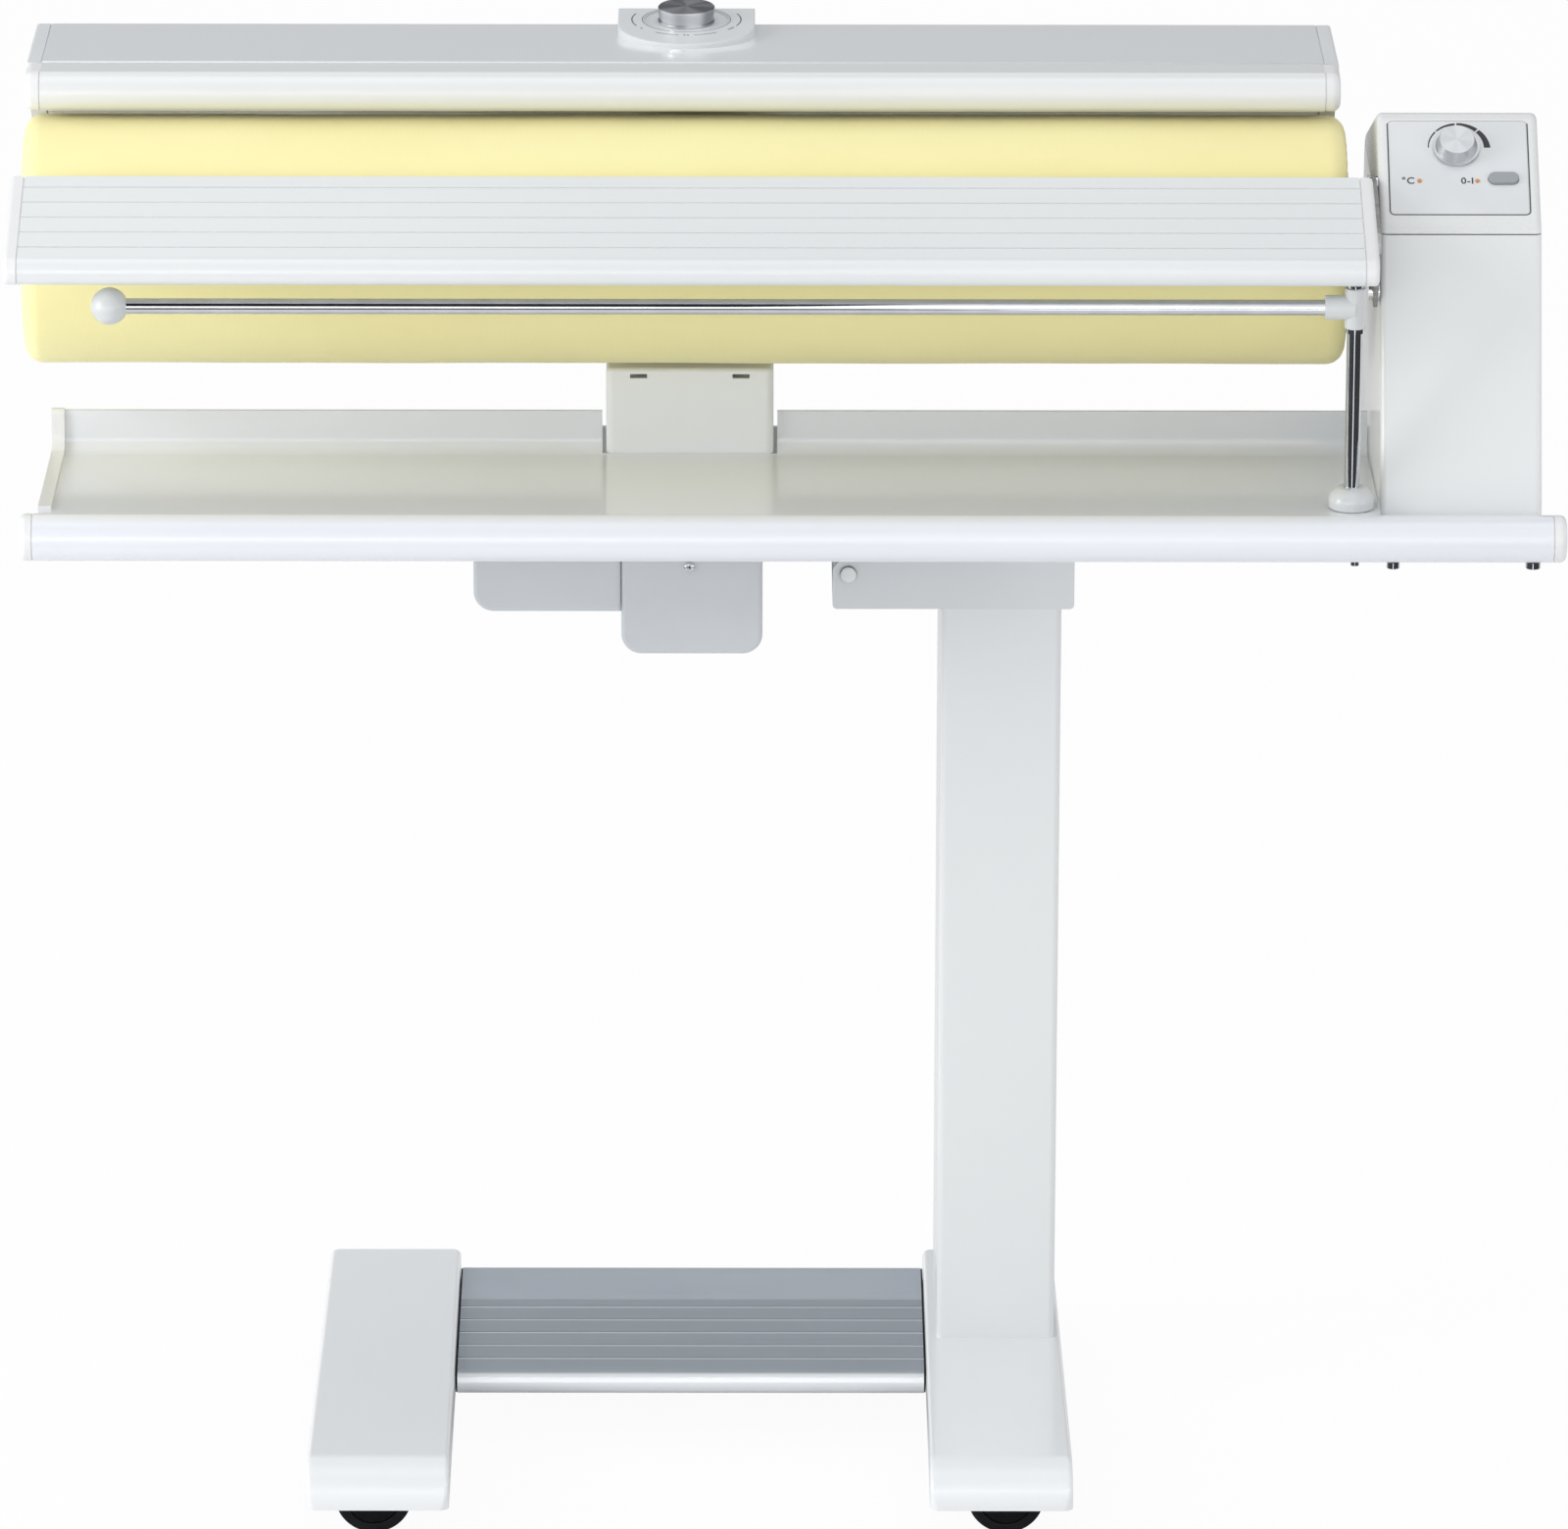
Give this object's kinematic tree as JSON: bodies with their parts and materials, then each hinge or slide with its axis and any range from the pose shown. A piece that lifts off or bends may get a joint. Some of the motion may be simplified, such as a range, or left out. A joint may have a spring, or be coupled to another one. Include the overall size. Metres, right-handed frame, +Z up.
{
  "type": "flatwork ironer",
  "caption": "Flatwork ironer: cantilevered padded roller under a curved heater, with feed board, towel rail, laundry tray, column, two wheeled feet and a foot pedal.",
  "frame": {"origin": "on the floor, in the middle of the overall width and depth", "axes": "+X along the roller towards the control housing, +Y away from the operator, +Z up"},
  "size_m": [0.986, 0.382, 0.957],
  "materials": {
    "white_enamel": "smooth white enamel",
    "zinc_steel": "zinc plated steel",
    "wheel_rubber": "black rubber tread",
    "pedal_aluminium": "anodised, ribbed",
    "spring_steel": "blued spring steel",
    "black_plastic": "black moulded plastic",
    "black_clip": "blackened steel",
    "buffer_rubber": "black rubber",
    "tray_enamel": "white coated extrusion",
    "white_plastic": "white moulded plastic, satin gloss",
    "grey_plastic": "pale grey moulded plastic",
    "motor_casting": "gear motor, grey",
    "grey_steel": "grey painted steel",
    "shoe_aluminium": "polished inside",
    "element_steel": "heat darkened tube",
    "cover_enamel": "white coated extrusion",
    "knob_aluminium": "turned, satin",
    "core_steel": "steel tube",
    "padding_felt": "wool felt",
    "roller_cloth": "pale yellow heat proof cloth",
    "board_enamel": "white coated, grooved extrusion",
    "screw_steel": "steel screw heads",
    "rail_chrome": "chromed",
    "housing_enamel": "smooth white enamel",
    "head_plastic": "white moulded plastic",
    "panel_plastic": "satin inset panel",
    "knob_silver": "silver finished plastic",
    "amber_lens": "amber lens",
    "button_plastic": "grey plastic",
    "bearing_steel": "ball bearing"
  },
  "bodies": {
    "base": {"left_foot": "white_enamel", "right_foot": "white_enamel", "wheel_forks": "zinc_steel", "wheel_axles": "zinc_steel", "foot_crossbar": "white_enamel", "pedal_hinge_pins": "zinc_steel", "pedal_return_spring": "spring_steel", "pedal_switch": "black_plastic", "column": "white_enamel", "column_head": "white_enamel", "fold_pin": "zinc_steel", "fold_pin_clips": "black_clip", "rest_buffers": "buffer_rubber"},
    "front_left_wheel": {"wheel_front_left": "wheel_rubber"},
    "front_right_wheel": {"wheel_front_right": "wheel_rubber"},
    "rear_left_wheel": {"wheel_rear_left": "wheel_rubber"},
    "rear_right_wheel": {"wheel_rear_right": "wheel_rubber"},
    "foot_pedal": {"pedal": "pedal_aluminium"},
    "ironer": {"chassis_beam": "white_enamel", "tray": "tray_enamel", "tray_end_caps": "white_plastic", "arm_bearing_cover": "white_plastic", "drive_box_right": "grey_plastic", "drive_box_left": "grey_plastic", "press_motor": "motor_casting", "arm_pivot_pin": "zinc_steel", "housing_shell": "housing_enamel", "control_head": "head_plastic", "control_panel": "panel_plastic", "indicator_lamps": "amber_lens", "bearing_plate": "grey_steel", "roller_bearings": "bearing_steel", "roller_motor": "motor_casting", "feed_board": "board_enamel", "feed_board_caps": "white_plastic", "feed_board_bracket": "grey_steel", "fixing_screws": "screw_steel", "rail_post": "rail_chrome", "post_dome": "white_plastic", "cable_gland": "black_plastic"},
    "eccentric": {"press_eccentric": "zinc_steel"},
    "heater": {"heater_arm": "grey_steel", "heater_plate": "shoe_aluminium", "heating_elements": "element_steel", "heater_cover": "cover_enamel", "heater_end_caps": "white_plastic", "knob_plinth": "white_plastic", "thermostat": "black_plastic"},
    "guard": {"finger_guard": "cover_enamel", "finger_guard_caps": "white_plastic"},
    "temperature_dial": {"temperature_knob": "knob_aluminium"},
    "roller": {"roller_core": "core_steel", "roller_padding": "padding_felt", "roller_cover": "roller_cloth", "roller_shaft": "zinc_steel"},
    "rail": {"rail_tee": "white_plastic", "rail_rod": "rail_chrome", "rail_ball": "white_plastic"},
    "speed_dial": {"speed_knob": "knob_silver"},
    "button": {"power_button": "button_plastic"}
  },
  "joints": [
    {"name": "front_left_wheel_roll", "type": "hinge", "parent": "base", "child": "front_left_wheel", "pos_m": [-0.2682, -0.146, 0.025], "axis": [0, 1, 0], "continuous": true},
    {"name": "front_right_wheel_roll", "type": "hinge", "parent": "base", "child": "front_right_wheel", "pos_m": [0.1448, -0.146, 0.025], "axis": [0, 1, 0], "continuous": true},
    {"name": "rear_left_wheel_roll", "type": "hinge", "parent": "base", "child": "rear_left_wheel", "pos_m": [-0.2682, 0.146, 0.025], "axis": [0, 1, 0], "continuous": true},
    {"name": "rear_right_wheel_roll", "type": "hinge", "parent": "base", "child": "rear_right_wheel", "pos_m": [0.1448, 0.146, 0.025], "axis": [0, 1, 0], "continuous": true},
    {"name": "pedal_press", "type": "hinge", "parent": "base", "child": "foot_pedal", "pos_m": [-0.0617, 0.163, 0.04415], "axis": [1, 0, 0], "range_deg": [0, 6], "stiffness_Nm_per_rad": 20, "springref_deg": -5.73, "deforming": ["pedal_return_spring"]},
    {"name": "fold_down", "type": "hinge", "parent": "base", "child": "ironer", "pos_m": [0.041, 0.1061, 0.6002], "axis": [0, -1, 0], "range_deg": [0, 90]},
    {"name": "heater_swing", "type": "hinge", "parent": "ironer", "child": "heater", "pos_m": [-0.062, 0.1, 0.7], "axis": [1, 0, 0], "range_deg": [0, 3.2]},
    {"name": "press_drive", "type": "hinge", "parent": "ironer", "child": "eccentric", "pos_m": [-0.062, 0.03, 0.64], "axis": [0, 1, 0], "range_deg": [0, 180]},
    {"name": "guard_tilt", "type": "hinge", "parent": "heater", "child": "guard", "pos_m": [-0.065, 0.015, 0.942], "axis": [-1, 0, 0], "range_deg": [0, 8]},
    {"name": "temperature_turn", "type": "hinge", "parent": "heater", "child": "temperature_dial", "pos_m": [-0.0646, 0.12, 0.95], "axis": [0, 0, -1], "range_deg": [0, 270]},
    {"name": "roller_spin", "type": "hinge", "parent": "ironer", "child": "roller", "pos_m": [-0.065, 0, 0.8368], "axis": [1, 0, 0], "continuous": true},
    {"name": "rail_swing", "type": "hinge", "parent": "ironer", "child": "rail", "pos_m": [0.358, -0.152, 0.84], "axis": [0, 0, 1], "range_deg": [0, 90]},
    {"name": "speed_turn", "type": "hinge", "parent": "ironer", "child": "speed_dial", "pos_m": [0.42675, -0.036, 0.90983], "axis": [0, 0.5934, -0.8049], "range_deg": [-135, 135]},
    {"name": "power_press", "type": "slide", "parent": "ironer", "child": "button", "axis": [0, 0.5934, -0.8049], "range_m": [0, 0.0015], "stiffness_N_per_m": 400, "springref_m": -0.003}
  ],
  "couplings": [
    {"joint": "press_drive", "follows": "heater_swing", "ratio": 56.25}
  ]
}
